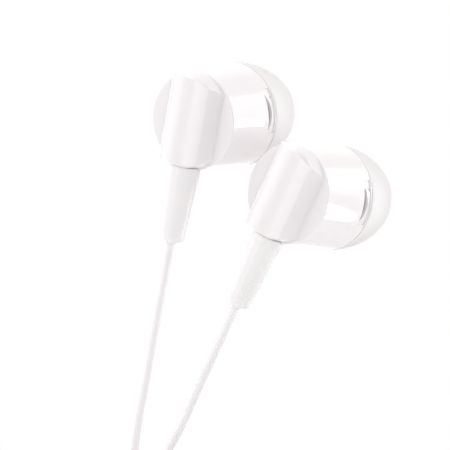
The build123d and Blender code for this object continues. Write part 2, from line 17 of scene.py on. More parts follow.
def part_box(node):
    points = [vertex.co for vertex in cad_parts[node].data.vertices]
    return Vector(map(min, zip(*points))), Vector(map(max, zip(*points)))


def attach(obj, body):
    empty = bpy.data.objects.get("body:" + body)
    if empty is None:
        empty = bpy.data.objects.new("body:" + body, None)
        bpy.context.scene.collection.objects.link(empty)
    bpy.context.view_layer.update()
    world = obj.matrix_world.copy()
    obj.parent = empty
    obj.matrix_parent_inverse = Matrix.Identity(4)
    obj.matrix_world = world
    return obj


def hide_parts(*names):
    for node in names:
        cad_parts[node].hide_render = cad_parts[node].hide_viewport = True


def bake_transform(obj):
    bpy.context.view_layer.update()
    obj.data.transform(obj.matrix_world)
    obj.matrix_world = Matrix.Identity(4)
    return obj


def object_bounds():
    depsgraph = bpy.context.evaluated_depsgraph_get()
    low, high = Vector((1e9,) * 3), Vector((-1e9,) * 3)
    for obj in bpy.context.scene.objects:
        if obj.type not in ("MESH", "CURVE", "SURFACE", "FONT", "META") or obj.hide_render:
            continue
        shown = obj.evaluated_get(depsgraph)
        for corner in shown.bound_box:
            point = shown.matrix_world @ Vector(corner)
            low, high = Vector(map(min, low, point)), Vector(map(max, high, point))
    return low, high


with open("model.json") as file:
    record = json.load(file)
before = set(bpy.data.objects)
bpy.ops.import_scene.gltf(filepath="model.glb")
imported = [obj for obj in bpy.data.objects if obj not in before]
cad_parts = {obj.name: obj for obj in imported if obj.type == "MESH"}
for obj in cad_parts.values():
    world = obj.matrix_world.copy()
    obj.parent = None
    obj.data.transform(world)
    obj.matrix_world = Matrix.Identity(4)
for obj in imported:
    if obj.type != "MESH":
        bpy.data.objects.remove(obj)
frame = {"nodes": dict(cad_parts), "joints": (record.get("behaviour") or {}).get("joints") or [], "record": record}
cad_lo, cad_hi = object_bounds()
MM = 0.001  # metres in a millimetre

joints = {joint["name"]: joint for joint in frame["joints"]}
SIDES = ("left", "right")

# ------------------------------------------------------------ driving dimensions, mm
BOOT_X, PIVOT_Z = -8.55, -16.2  # boot axis and cable pivot in the bud frame
SEAM_R = 6.5  # bud radius where the ear tip meets it
CABLE_R = 0.5

COIL_CENTRE = Vector((-3.9, 2.103, 0.009))
COIL_IN_R, COIL_OUT_R = 18.9, 20.5  # coil of the two leads, coil of the common cable
LEAD_PITCH, LEAD_TURNS = 2.6, 2.6
COMMON_PITCH, COMMON_TURNS = 1.25, 6.0

SPLIT_LENGTH, SPLIT_WIDTH, SPLIT_HEIGHT = 15.0, 5.0, 3.2
SPLIT_REACH, SPLIT_DEG = 13.0, 330.0  # place of the splitter inside the coil
STRAND_OFFSET = 0.9  # each lead from the splitter's axis


# ------------------------------------------------------------ frames
def frame_matrix(x_axis, y_axis, z_axis, origin):
    """Matrix with the given axes as columns and its origin in metres."""
    m = Matrix.Identity(4)
    for i in range(3):
        m[i][0], m[i][1], m[i][2], m[i][3] = x_axis[i], y_axis[i], z_axis[i], origin[i]
    return m


def bud_matrix(side):
    """Bud frame in the row frame."""
    y_axis = Vector(joints[side + "_bud_flex"]["axis"]).normalized()
    x_axis = Vector(joints[side + "_tip_pull"]["axis"]).normalized()
    z_axis = x_axis.cross(y_axis).normalized()
    pivot = Vector(joints[side + "_bud_flex"]["pos_m"])
    origin = pivot - x_axis * (BOOT_X * MM) - z_axis * (PIVOT_Z * MM)
    return frame_matrix(x_axis, y_axis, z_axis, origin)


BUD = {side: bud_matrix(side) for side in SIDES}


def bud_to_row(side, point):
    """A bud frame point in the row frame, both in millimetres."""
    return tuple((BUD[side] @ (Vector(point) * MM)) * 1000)


# ------------------------------------------------------------ mesh helpers
def make_mesh(name, verts, faces, material, matrix=None, outward=True):
    """Smooth mesh object from points in millimetres, placed by matrix."""
    mesh = bpy.data.meshes.new(name)
    points = [Vector(v) * MM for v in verts]
    if matrix is not None:
        points = [matrix @ p for p in points]
    mesh.from_pydata([tuple(p) for p in points], [], faces)
    mesh.validate()
    for polygon in mesh.polygons:
        polygon.use_smooth = True
    mesh.update()
    ob = bpy.data.objects.new(name, mesh)
    bpy.context.scene.collection.objects.link(ob)
    mesh.materials.append(material)
    if outward:
        bm = bmesh.new()
        bm.from_mesh(mesh)
        bmesh.ops.recalc_face_normals(bm, faces=bm.faces)
        bm.to_mesh(mesh)
        bm.free()
    return ob


def register(ob, rides_on=None, replaces=None):
    if rides_on:
        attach(ob, rides_on)
    if replaces:
        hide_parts(replaces)


def band(a, b, seg):
    """Quads between two rings of seg vertices that start at a and b."""
    return [(a + k, a + (k + 1) % seg, b + (k + 1) % seg, b + k) for k in range(seg)]


def fan(apex, ring, seg):
    """Triangles from one vertex to the ring of seg vertices that starts at ring."""
    return [(apex, ring + k, ring + (k + 1) % seg) for k in range(seg)]


def rounded(points, closed=True, n=5):
    """Replaces each corner (u, v, radius) by a curved run of n + 1 points."""
    out = []
    count = len(points)
    for i, (u, v, radius) in enumerate(points):
        corner = Vector((u, v))
        if radius <= 0 or (not closed and i in (0, count - 1)):
            out.append((corner.x, corner.y))
            continue
        to_prev = Vector(points[i - 1][:2]) - corner
        to_next = Vector(points[(i + 1) % count][:2]) - corner
        prev_len, next_len = to_prev.length, to_next.length
        to_prev, to_next = to_prev / prev_len, to_next / next_len
        half_angle = math.acos(max(-1, min(1, to_prev.dot(to_next)))) / 2
        # the cut stays short of the middle of either side
        cut = min(radius / math.tan(half_angle), prev_len * 0.48, next_len * 0.48)
        start, end = corner + to_prev * cut, corner + to_next * cut
        for j in range(n + 1):
            t = j / n
            q = start * (1 - t) ** 2 + corner * (2 * t * (1 - t)) + end * t**2
            out.append((q.x, q.y))
    return out


def refine(profile, step):
    """Adds points to a closed profile so that no segment is longer than step."""
    out = []
    for i, a in enumerate(profile):
        b = profile[(i + 1) % len(profile)]
        parts = max(1, int(math.ceil(math.hypot(b[0] - a[0], b[1] - a[1]) / step)))
        for j in range(parts):
            t = j / parts
            out.append((a[0] * (1 - t) + b[0] * t, a[1] * (1 - t) + b[1] * t))
    return out


def lathe(name, profile, matrix, material, axis, seg, centre_x=0):
    """Turns a closed profile of (along, radius) points about the x or z axis."""
    verts, faces = [], []
    for along, radius in profile:
        for k in range(seg):
            a = 2 * math.pi * k / seg
            c, s = radius * math.cos(a), radius * math.sin(a)
            x, y, z = (along, c, s) if axis == "x" else (c, s, along)
            verts.append((x + centre_x, y, z))
    count = len(profile)
    for i in range(count):
        faces += band(i * seg, (i + 1) % count * seg, seg)
    return make_mesh(name, verts, faces, material, matrix)


def spline(points, step):
    """Dense points of the natural cubic spline through the points (chord-length knots)."""
    p = np.array([tuple(q) for q in points], float)
    chords = np.linalg.norm(np.diff(p, axis=0), axis=1)
    knots = np.concatenate([[0], np.cumsum(chords)])
    gaps = np.diff(knots)
    n = len(p)
    system = np.zeros((n, n))
    rhs = np.zeros((n, 3))
    system[0, 0] = system[-1, -1] = 1
    for i in range(1, n - 1):
        before, after = gaps[i - 1], gaps[i]
        system[i, i - 1 : i + 2] = before, 2 * (before + after), after
        rhs[i] = 6 * ((p[i + 1] - p[i]) / after - (p[i] - p[i - 1]) / before)
    curve = np.linalg.solve(system, rhs)
    out = []
    total = knots[-1]
    count = int(total / step)
    for k in range(count + 1):
        x = total * k / count
        i = min(n - 2, int(np.searchsorted(knots, x, side="right") - 1))
        gap = gaps[i]
        a, b = (knots[i + 1] - x) / gap, (x - knots[i]) / gap
        bow = ((a**3 - a) * curve[i] + (b**3 - b) * curve[i + 1]) * gap**2 / 6
        out.append(a * p[i] + b * p[i + 1] + bow)
    return np.array(out)


def unit_tangents(path):
    tangents = np.gradient(path, axis=0)
    return tangents / np.linalg.norm(tangents, axis=1)[:, None]


def tube(name, path, radius, material, seg, caps=True, ripple=0.0):
    """Round cable along a dense path in the row frame, its sections carried without twist."""
    path = np.array(path, float)
    tangents = unit_tangents(path)
    steep = abs(tangents[0][2]) >= 0.9
    ref = np.array([1.0, 0.0, 0.0]) if steep else np.array([0.0, 0.0, 1.0])
    u = np.cross(tangents[0], ref)
    u /= np.linalg.norm(u)
    verts, faces = [], []
    for i in range(len(path)):
        u = u - tangents[i] * np.dot(u, tangents[i])
        u /= np.linalg.norm(u)
        v = np.cross(tangents[i], u)
        r = radius * (1 + ripple * math.sin(i * 0.37) * math.sin(i * 0.113 + 1.0))
        for k in range(seg):
            a = 2 * math.pi * k / seg
            verts.append(tuple(path[i] + u * (r * math.cos(a)) + v * (r * math.sin(a))))
    for i in range(len(path) - 1):
        faces += band(i * seg, (i + 1) * seg, seg)
    if caps:
        for i, way in ((0, -1), (len(path) - 1, 1)):
            faces += fan(len(verts), i * seg, seg)
            verts.append(tuple(path[i] + tangents[i] * (way * radius * 0.25)))
    return make_mesh(name, verts, faces, material)


def loft(name, sections, matrix, material, seg=72):
    """Closed body through superellipse sections (x, half width, half height, power)."""
    verts, faces = [], []
    for x, half_w, half_h, power in sections:
        for k in range(seg):
            a = 2 * math.pi * k / seg
            c, s = math.cos(a), math.sin(a)
            y = math.copysign(abs(c) ** (2 / power), c) * half_w
            z = math.copysign(abs(s) ** (2 / power), s) * half_h
            verts.append((x, y, z))
    last = len(sections) - 1
    for i in range(last):
        faces += band(i * seg, (i + 1) * seg, seg)
    for i in (0, last):
        faces += fan(len(verts), i * seg, seg)
        verts.append((sections[i][0], 0, 0))
    return make_mesh(name, verts, faces, material, matrix)


# ------------------------------------------------------------ shader helpers
def add_node(tree, kind, operation=None):
    node = tree.nodes.new(kind)
    if operation:
        node.operation = operation
    return node


def map_range(tree, source, from_range, to_range=(0.0, 1.0), interpolation="LINEAR"):
    node = add_node(tree, "ShaderNodeMapRange")
    node.interpolation_type = interpolation
    node.inputs["From Min"].default_value, node.inputs["From Max"].default_value = from_range
    node.inputs["To Min"].default_value, node.inputs["To Max"].default_value = to_range
    tree.links.new(source, node.inputs["Value"])
    return node.outputs[0]


def noise(tree, vector, scale, detail, roughness=0.5):
    node = add_node(tree, "ShaderNodeTexNoise")
    node.inputs["Scale"].default_value = scale
    node.inputs["Detail"].default_value = detail
    node.inputs["Roughness"].default_value = roughness
    tree.links.new(vector, node.inputs["Vector"])
    return node.outputs["Fac"]


def colour_mix(tree):
    node = add_node(tree, "ShaderNodeMix")
    node.data_type = "RGBA"
    return node


# ------------------------------------------------------------ materials
NOISE_SPAN = (0.3, 0.7)  # the part of the noise that is spread over the full range


def make_material(name, colour, rough, grain, tone, bump=0.0, bump_scale=None, rim=0.0,
                  **surface):
    """Principled surface with drifting tone, uneven roughness and fine relief.

    rough: lowest and highest roughness; grain: scale of its noise, per mm
    tone: share by which the colour drifts either way
    bump, bump_scale: strength of the relief and scale of its noise, per mm
    rim: painted shade at the outline, how far the outline turns to a darker colour
    surface: values of further shader inputs, with _ for each space in their names
    """
    m = bpy.data.materials.new(name)
    m.use_nodes = True
    tree = m.node_tree
    links = tree.links
    shader = tree.nodes["Principled BSDF"]

    coord = add_node(tree, "ShaderNodeTexCoord")
    in_mm = add_node(tree, "ShaderNodeVectorMath", "SCALE")
    in_mm.inputs["Scale"].default_value = 1000.0
    links.new(coord.outputs["Object"], in_mm.inputs[0])
    place = in_mm.outputs[0]

    drift = noise(tree, place, scale=0.35, detail=3.0)
    drift = map_range(tree, drift, NOISE_SPAN)
    mix = colour_mix(tree)
    mix.inputs[6].default_value = (*(c * (1 - tone) for c in colour), 1)
    mix.inputs[7].default_value = (*(min(1.0, c * (1 + tone)) for c in colour), 1)
    links.new(drift, mix.inputs[0])
    shade = mix.outputs[2]
    if rim > 0:
        # painted shade: the colour turns darker towards the outline, where the surface is seen edge-on
        facing = add_node(tree, "ShaderNodeLayerWeight")
        facing.inputs["Blend"].default_value = 0.5
        painted_shade_mask = map_range(tree, facing.outputs["Facing"], (0.35, 0.95), (0.0, rim), "SMOOTHSTEP")
        outline_shade_mix = colour_mix(tree)
        links.new(painted_shade_mask, outline_shade_mix.inputs[0])
        links.new(shade, outline_shade_mix.inputs[6])
        # darker copy of the colour, painted shade at the outline
        outline_shade_mix.inputs[7].default_value = (*(c * c * 0.5 for c in colour), 1)
        shade = outline_shade_mix.outputs[2]
    links.new(shade, shader.inputs["Base Color"])

    fine = noise(tree, place, scale=grain, detail=6.0, roughness=0.6)
    links.new(map_range(tree, fine, NOISE_SPAN, rough), shader.inputs["Roughness"])
    if bump > 0:
        relief = noise(tree, place, scale=bump_scale, detail=4.0)
        bump_node = add_node(tree, "ShaderNodeBump")
        bump_node.inputs["Strength"].default_value = bump
        bump_node.inputs["Distance"].default_value = 0.00005
        links.new(relief, bump_node.inputs["Height"])
        links.new(bump_node.outputs["Normal"], shader.inputs["Normal"])
    for key, value in surface.items():
        shader.inputs[key.replace("_", " ")].default_value = value
    return m


def scatter(weight, scale):
    """Light that spreads under the surface, alike in all colours; scale in metres."""
    return dict(Subsurface_Weight=weight, Subsurface_Radius=(1.0, 1.0, 1.0),
                Subsurface_Scale=scale)


# rim sets the painted shade at the outline of each white part
MATERIAL_SPECS = {
    # white outer parts
    "housing": dict(
        colour=(0.93, 0.905, 0.91), rough=(0.03, 0.07), grain=3.0, bump=0.03, bump_scale=1.0,
        tone=0.006, rim=0.1, **scatter(weight=0.25, scale=0.0006),
        Specular_IOR_Level=0.6, Coat_Weight=0.6, Coat_Roughness=0.02),
    "silicone": dict(
        colour=(0.972, 0.95, 0.953), rough=(0.26, 0.36), grain=9.0, bump=0.1, bump_scale=14.0,
        tone=0.01, rim=0.64, **scatter(weight=0.6, scale=0.0009), Specular_IOR_Level=0.3),
    "boot": dict(
        colour=(0.965, 0.943, 0.946), rough=(0.15, 0.24), grain=7.0, bump=0.06, bump_scale=9.0,
        tone=0.01, rim=0.28, **scatter(weight=0.3, scale=0.0005),
        Specular_IOR_Level=0.55, Coat_Weight=0.35, Coat_Roughness=0.12),
    "cable": dict(
        colour=(0.955, 0.935, 0.938), rough=(0.24, 0.36), grain=8.0, bump=0.14, bump_scale=7.0,
        tone=0.015, rim=0.42, **scatter(weight=0.2, scale=0.0004), Specular_IOR_Level=0.45),
    # vent cloth and small parts
    "mesh": dict(
        colour=(0.8, 0.79, 0.79), rough=(0.35, 0.5), grain=20.0, bump=0.2, bump_scale=30.0,
        tone=0.05, Metallic=0.35),
    "driver_plastic": dict(
        colour=(0.03, 0.03, 0.033), rough=(0.42, 0.6), grain=10.0, bump=0.2, bump_scale=12.0,
        tone=0.08),
    "steel": dict(
        colour=(0.6, 0.61, 0.63), rough=(0.24, 0.42), grain=14.0, bump=0.12, bump_scale=20.0,
        tone=0.03, Metallic=1.0),
    "magnet": dict(
        colour=(0.7, 0.69, 0.68), rough=(0.12, 0.24), grain=8.0, bump=0.05, bump_scale=9.0,
        tone=0.02, Metallic=1.0),
    "copper": dict(
        colour=(0.72, 0.36, 0.16), rough=(0.25, 0.4), grain=18.0, bump=0.3, bump_scale=22.0,
        tone=0.06, Metallic=1.0),
    "membrane": dict(
        colour=(0.7, 0.73, 0.78), rough=(0.12, 0.22), grain=5.0, bump=0.05, bump_scale=4.0,
        tone=0.02, Transmission_Weight=0.3),
    "damper": dict(
        colour=(0.75, 0.72, 0.66), rough=(0.8, 0.95), grain=16.0, bump=0.5, bump_scale=24.0,
        tone=0.05),
    "board": dict(
        colour=(0.02, 0.14, 0.05), rough=(0.25, 0.4), grain=9.0, bump=0.1, bump_scale=16.0,
        tone=0.08),
    "wire": dict(
        colour=(0.55, 0.1, 0.05), rough=(0.3, 0.42), grain=12.0, bump=0.06, bump_scale=14.0,
        tone=0.05),
    "contact": dict(
        colour=(0.78, 0.77, 0.75), rough=(0.1, 0.22), grain=7.0, bump=0.04, bump_scale=12.0,
        tone=0.02, Metallic=1.0),
    "insulator": dict(
        colour=(0.8, 0.8, 0.8), rough=(0.3, 0.45), grain=10.0, bump=0.06, bump_scale=12.0,
        tone=0.02),
}
MAT = {name: make_material(name, **spec) for name, spec in MATERIAL_SPECS.items()}

slot_of = {row["node"]: row.get("material_slot") for row in frame["record"]["subparts"]}
for node_name, cad_piece in frame["nodes"].items():
    cad_piece.data.materials.clear()
    cad_piece.data.materials.append(MAT[slot_of[node_name]])

# ------------------------------------------------------------ ear tips, bud frame
TIP_START_X = 0.2  # open rim of the dome
MOUTH_X = 8.72  # where the outer wall turns into the mouth
STEM_END_X = 7.0  # where the inner wall meets the stem


def dome(x, radius, length):
    return radius * (1 - (x / length) ** 2.064) ** (1 / 2.176)


def outer_wall(x):
    return dome(x, SEAM_R - 0.01, 9.4)


def inner_wall(x):
    return dome(x, SEAM_R - 0.5, 8.65)


def tip_profile():
    """Closed (x, radius) outline: outer wall, mouth, stem, inner wall, rim."""
    outline = []
    for i in range(47):
        x = TIP_START_X + (MOUTH_X - TIP_START_X) * i / 46
        outline.append((x, outer_wall(x)))
    # mouth and stem corners: x, radius, corner radius
    mouth = [(MOUTH_X, outer_wall(MOUTH_X), 0), (9.06, 2.3, 0.35), (8.98, 1.97, 0.2),
             (8.7, 1.95, 0)]
    stem = [(8.7, 1.95, 0), (6.75, 1.95, 0.1), (6.4, 2.8, 0.15), (2.85, 2.8, 0.15),
            (2.85, 3.45, 0.2), (6.9, 3.5, 0.4), (STEM_END_X, inner_wall(STEM_END_X), 0)]
    outline += rounded(mouth, closed=False, n=6)[1:]
    outline += rounded(stem, closed=False, n=4)[1:]
    for i in range(1, 31):
        x = STEM_END_X + (TIP_START_X - STEM_END_X) * i / 30
        outline.append((x, inner_wall(x)))
    # rolled rim between the inner and outer wall
    r_in, r_out = inner_wall(TIP_START_X), SEAM_R - 0.01
    middle, half = (r_in + r_out) / 2, (r_out - r_in) / 2
    for i in range(1, 8):
        a = math.pi * i / 8
        outline.append((TIP_START_X - 0.1 * math.sin(a), middle - half * math.cos(a)))
    return outline


for side in SIDES:
    tip = lathe(side + "_tip_skin", refine(tip_profile(), 0.3), BUD[side], MAT["silicone"],
                axis="x", seg=160)
    register(tip, rides_on=side + "_tip", replaces=side + "_ear_tip")

# ------------------------------------------------------------ boots, bud frame
# closed outline round the boot's axis: z, radius, corner radius
BOOT_LINE = [
    (-3.55, 0.56, 0.05), (-3.55, 1.4, 0.1), (-4.33, 1.4, 0.05), (-4.33, 1.0, 0.0),
    (-5.52, 1.0, 0.0), (-5.52, 2.1, 0.12), (-6.4, 2.08, 0.6), (-14.7, 1.62, 1.2),
    (-15.2, 1.5, 0.34), (-15.2, 0.8, 0.12), (-15.62, 0.62, 0.1), (-15.66, 0.52, 0.03),
    (-15.4, 0.51, 0.0),
]

for side in SIDES:
    boot = lathe(side + "_boot_sleeve", refine(rounded(BOOT_LINE, n=6), 0.35), BUD[side],
                 MAT["boot"], axis="z", seg=96, centre_x=BOOT_X)
    register(boot, rides_on=side + "_bud", replaces=side + "_boot")

# ------------------------------------------------------------ vent cloths, bud frame
CLOTH_R = 5.8
WIRE_R, WIRE_PITCH = 0.036, 0.165
CLOTH_X = (-1.86, -0.34)
CLOTH_ANGLE = (math.radians(-5.2), math.radians(44.2))  # from -Y towards +Z
WIRE_SEG = 6


def woven_cloth(side):
    """Plain-woven wire cloth on the inside of the barrel, behind the vent slot."""
    x0, x1 = CLOTH_X
    a0, a1 = CLOTH_ANGLE
    n_round = int((a1 - a0) * CLOTH_R / WIRE_PITCH)
    n_along = int((x1 - x0) / WIRE_PITCH)

    def weave(x, a, wave):
        """Point of a wire that passes over and under its neighbours."""
        r = CLOTH_R + wave
        return (x, -r * math.cos(a), r * math.sin(a))

    wires = []
    for i in range(n_round + 1):
        a = a0 + (a1 - a0) * i / n_round
        wires.append([
            weave(x0 + (x1 - x0) * j / (n_along * 4), a,
                  WIRE_R * math.cos(math.pi * (j / 4 + i)))
            for j in range(n_along * 4 + 1)])
    for j in range(n_along + 1):
        x = x0 + (x1 - x0) * j / n_along
        wires.append([
            weave(x, a0 + (a1 - a0) * i / (n_round * 4),
                  -WIRE_R * math.cos(math.pi * (i / 4 + j)))
            for i in range(n_round * 4 + 1)])

    verts, faces = [], []
    ref = np.array([0.3, 0.9, 0.2])
    for wire in wires:
        path = np.array(wire, float)
        base = len(verts)
        for point, tangent in zip(path, unit_tangents(path)):
            u = np.cross(tangent, ref)
            u /= np.linalg.norm(u)
            v = np.cross(tangent, u)
            for k in range(WIRE_SEG):
                a = 2 * math.pi * k / WIRE_SEG
                verts.append(tuple(point + u * WIRE_R * math.cos(a) + v * WIRE_R * math.sin(a)))
        for i in range(len(path) - 1):
            faces += band(base + i * WIRE_SEG, base + (i + 1) * WIRE_SEG, WIRE_SEG)
    return make_mesh(side + "_vent_cloth", verts, faces, MAT["mesh"], BUD[side])


for side in SIDES:
    register(woven_cloth(side), rides_on=side + "_bud", replaces=side + "_vent_mesh")

# ------------------------------------------------------------ cable route, row frame
ring_lo, ring_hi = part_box("plug_ring")
grip_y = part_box("plug_grip")[1].y * 1000
plug_dir = Vector((0, -1, 0))  # from the cable to the tip of the plug
plug_root = Vector(((ring_lo.x + ring_hi.x) / 2 * 1000, grip_y,
                    (ring_lo.z + ring_hi.z) / 2 * 1000))


# coil angles are in degrees, from -X towards +Y
def coil_point(deg, radius, height):
    a = math.radians(deg)
    return Vector((COIL_CENTRE.x - radius * math.cos(a), COIL_CENTRE.y + radius * math.sin(a),
                   COIL_CENTRE.z + height))


def coil_heading(deg, climb=0.0):
    a = math.radians(deg)
    return Vector((math.sin(a), math.cos(a), climb)).normalized()


def coil_run(deg_from, deg_to, radius, level):
    """Coil points about every 30 degrees, without the last; level gives their height."""
    n = int((deg_to - deg_from) / 30)
    angles = [deg_from + (deg_to - deg_from) * i / n for i in range(n)]
    return [coil_point(deg, radius, level(deg)) for deg in angles]


def bend(start, start_dir, end, end_dir, n, pull=1.0):
    """n points of a Hermite curve, without its end."""
    reach = (end - start).length * pull
    out = []
    for i in range(n):
        t = i / n
        h00, h10 = 2 * t**3 - 3 * t**2 + 1, t**3 - 2 * t**2 + t
        h01, h11 = -2 * t**3 + 3 * t**2, t**3 - t**2
        out.append(start * h00 + start_dir * (reach * h10)
                   + end * h01 + end_dir * (reach * h11))
    return out


split_dir = coil_heading(SPLIT_DEG)
split_outward = Vector((-math.cos(math.radians(SPLIT_DEG)), math.sin(math.radians(SPLIT_DEG)), 0))
split_centre = coil_point(SPLIT_DEG, SPLIT_REACH, SPLIT_HEIGHT / 2 + 0.1)
split_in = split_centre - split_dir * (SPLIT_LENGTH / 2)
split_out = split_centre + split_dir * (SPLIT_LENGTH / 2)

# ------------------------------------------------------------ leads
# start_deg: where the lead joins the coil; rise: its height over the lower lead
# hang: straight length below the pivot; offset: from the splitter's axis, outwards
LEADS = {
    "left": dict(start_deg=46.0, rise=1.3, hang=24.0, offset=STRAND_OFFSET),
    "right": dict(start_deg=30.0, rise=0.0, hang=16.5, offset=-STRAND_OFFSET),
}
LEAD_LEVEL = 2.45  # height at which the lower lead leaves the coil
LEAVE_DEG = 30.0 + 360.0 * LEAD_TURNS


def lead_path(pivot, down, start_deg, rise, hang, offset):
    """From above the pivot down to the coil, round it and into the splitter."""
    def level(deg):
        return LEAD_LEVEL + rise + LEAD_PITCH * (LEAVE_DEG - deg) / 360.0

    slope = -LEAD_PITCH / (2 * math.pi * COIL_IN_R)
    points = [pivot + down * drop for drop in range(0, math.ceil(hang), 6)]
    first = coil_point(start_deg, COIL_IN_R, level(start_deg))
    points += bend(pivot + down * hang, down, first, coil_heading(start_deg, slope), 5, 1.05)
    points += coil_run(start_deg, LEAVE_DEG, COIL_IN_R, level)
    last = coil_point(LEAVE_DEG, COIL_IN_R, level(LEAVE_DEG))
    mouth = split_in + split_outward * offset
    before_mouth = mouth - split_dir * 0.6
    points += bend(last, coil_heading(LEAVE_DEG, slope), before_mouth, split_dir, 4)
    points += [before_mouth, mouth, mouth + split_dir * 1.5, mouth + split_dir * 3.0]
    head = [tuple(pivot - down * (1.3 - 0.26 * i)) for i in range(5)]
    return np.vstack([head, spline(points, 0.35)])


def make_lead(side):
    up = BUD[side].to_3x3() @ Vector((0, 0, 1))
    down = up * -1
    pivot = Vector(joints[side + "_bud_flex"]["pos_m"]) * 1000
    path = lead_path(pivot, down, **LEADS[side])
    lead = tube(side + "_lead_jacket", path, CABLE_R, MAT["cable"], seg=24, ripple=0.004)
    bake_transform(lead)
    register(lead, replaces=side + "_lead")


def make_lead_tail(side):
    """The end of the lead inside the boot."""
    path = [bud_to_row(side, (BOOT_X, 0, z)) for z in np.linspace(-14.95, -3.0, 40)]
    tail = tube(side + "_lead_tail", path, CABLE_R * 0.98, MAT["cable"], seg=20)
    register(tail, rides_on=side + "_bud")


def make_lead_knot(side):
    """Trefoil knot above the boot's flange."""
    path = []
    for i in range(121):
        a = 2 * math.pi * i / 120
        path.append(bud_to_row(side, (
            (math.sin(a) + 2 * math.sin(2 * a)) * 0.2 + BOOT_X,
            (math.cos(a) - 2 * math.cos(2 * a)) * 0.2,
            -math.sin(3 * a) * 0.3 - 1.9)))
    knot = tube(side + "_lead_knot", path, 0.42, MAT["cable"], seg=14, caps=False)
    register(knot, rides_on=side + "_bud", replaces=side + "_lead_end")


for side in SIDES:
    make_lead(side)
    make_lead_tail(side)
    make_lead_knot(side)


# ------------------------------------------------------------ common cable
def make_common_cable():
    """From the splitter round the outer coil to the plug."""
    deg_from = SPLIT_DEG - 360 + 105.0
    deg_to = deg_from + 360 * COMMON_TURNS + 20
    slope = COMMON_PITCH / (2 * math.pi * COIL_OUT_R)

    def level(deg):
        return CABLE_R + COMMON_PITCH * (deg - deg_from) / 360.0

    points = [split_out - split_dir * 3.0, split_out - split_dir * 1.5, split_out]
    start = coil_point(deg_from, COIL_OUT_R, level(deg_from))
    points += bend(split_out, split_dir, start, coil_heading(deg_from), 5)[1:]
    points += coil_run(deg_from, deg_to, COIL_OUT_R, level)
    last = coil_point(deg_to, COIL_OUT_R, level(deg_to))
    before_plug = plug_root - plug_dir * 2.5
    points += bend(last, coil_heading(deg_to, slope), before_plug, plug_dir, 6, 1.1)
    points += [before_plug, plug_root - plug_dir * 1.2, plug_root, plug_root + plug_dir * 4.0]
    cable = tube("common_cable_jacket", spline(points, 0.4), CABLE_R, MAT["cable"], seg=24,
                 ripple=0.004)
    register(cable, rides_on="harness", replaces="common_cable")


make_common_cable()


# ------------------------------------------------------------ splitter
def make_splitter():
    """Flat body with a rounded end at the leads, tapered towards the common cable."""
    half_l, half_w, half_h = SPLIT_LENGTH / 2, SPLIT_WIDTH / 2, SPLIT_HEIGHT / 2
    nose_x, taper_x = -half_l + 0.9, 0.5  # ends of the straight part
    # rounded end: x from the end, inset of the half sizes, power
    nose = [(0.0, 0.85, 2.6), (0.05, 0.5, 2.8), (0.2, 0.22, 3.0), (0.5, 0.05, 3.2),
            (0.9, 0.0, 3.3)]
    sections = [(-half_l + x, half_w - inset, half_h - inset, power) for x, inset, power in nose]
    for i in range(1, 9):
        sections.append((nose_x + (taper_x - nose_x) * i / 8, half_w, half_h, 3.3))
    for i in range(1, 13):
        t = i / 12
        s = t * t * (3 - 2 * t)
        sections.append((taper_x + (half_l - 0.5 - taper_x) * t, half_w * (1 - s) + 1.35 * s,
                         half_h * (1 - s) + 1.3 * s, 3.3 - 0.9 * t))
    sections += [(half_l - 0.28, 1.28, 1.24, 2.3), (half_l - 0.1, 1.1, 1.08, 2.2),
                 (half_l, 0.8, 0.8, 2.1)]
    up = Vector((0, 0, 1))
    matrix = frame_matrix(split_dir, up.cross(split_dir), up, [c * MM for c in split_centre])
    splitter = loft("splitter_shell", sections, matrix, MAT["boot"])
    register(splitter, rides_on="harness", replaces="y_splitter")


make_splitter()

# ------------------------------------------------------------ plug grip
GRIP_FACE_Z, GRIP_R = 21.0, 3.1
GROOVES, GROOVE_PITCH, GROOVE_DEPTH = 5, 1.5, 0.2


def make_plug_grip():
    """Grooved grip along plug_dir, with a bore for the plug's sleeve."""
    # closed outline: z, radius, corner radius
    outline = [(0.0, 0.62, 0.05), (0.0, 1.1, 0.15), (5.4, 1.6, 0.3), (6.0, 2.5, 0.25),
               (7.0, 2.95, 0.5), (8.2, GRIP_R, 0.8)]
    for i in reversed(range(GROOVES)):
        z = GRIP_FACE_Z - 3.0 - GROOVE_PITCH * i
        floor_r = GRIP_R - GROOVE_DEPTH
        outline += [(z - 0.34, GRIP_R, 0.1), (z - 0.12, floor_r, 0.12),
                    (z + 0.12, floor_r, 0.12), (z + 0.34, GRIP_R, 0.1)]
    outline += [(GRIP_FACE_Z - 0.5, GRIP_R, 0.2), (GRIP_FACE_Z, GRIP_R - 0.3, 0.15),
                (GRIP_FACE_Z, 2.32, 0.0), (GRIP_FACE_Z - 3.0, 2.3, 0.0), (3.0, 0.62, 0.0)]
    x_axis = Vector((1, 0, 0))
    matrix = frame_matrix(x_axis, plug_dir.cross(x_axis), plug_dir, [c * MM for c in plug_root])
    grip = lathe("plug_grip_shell", refine(rounded(outline, n=4), 0.4), matrix, MAT["boot"],
                 axis="z", seg=112)
    register(grip, rides_on="harness", replaces="plug_grip")


make_plug_grip()

# ------------------------------------------------------------ floor
FLOOR_R, FLOOR_RINGS, FLOOR_SEG = 300.0, 24, 96


def make_floor_material():
    """Pale matt floor that fades out with distance from the origin."""
    m = make_material("floor", colour=(0.92, 0.92, 0.92), rough=(0.7, 0.85), grain=0.4,
                      tone=0.004)
    tree = m.node_tree
    coord = add_node(tree, "ShaderNodeTexCoord")
    distance = add_node(tree, "ShaderNodeVectorMath", "LENGTH")
    tree.links.new(coord.outputs["Object"], distance.inputs[0])
    fade = map_range(tree, distance.outputs["Value"], (0.05, 0.16), (1.0, 0.0), "SMOOTHERSTEP")
    tree.links.new(fade, tree.nodes["Principled BSDF"].inputs["Alpha"])
    return m


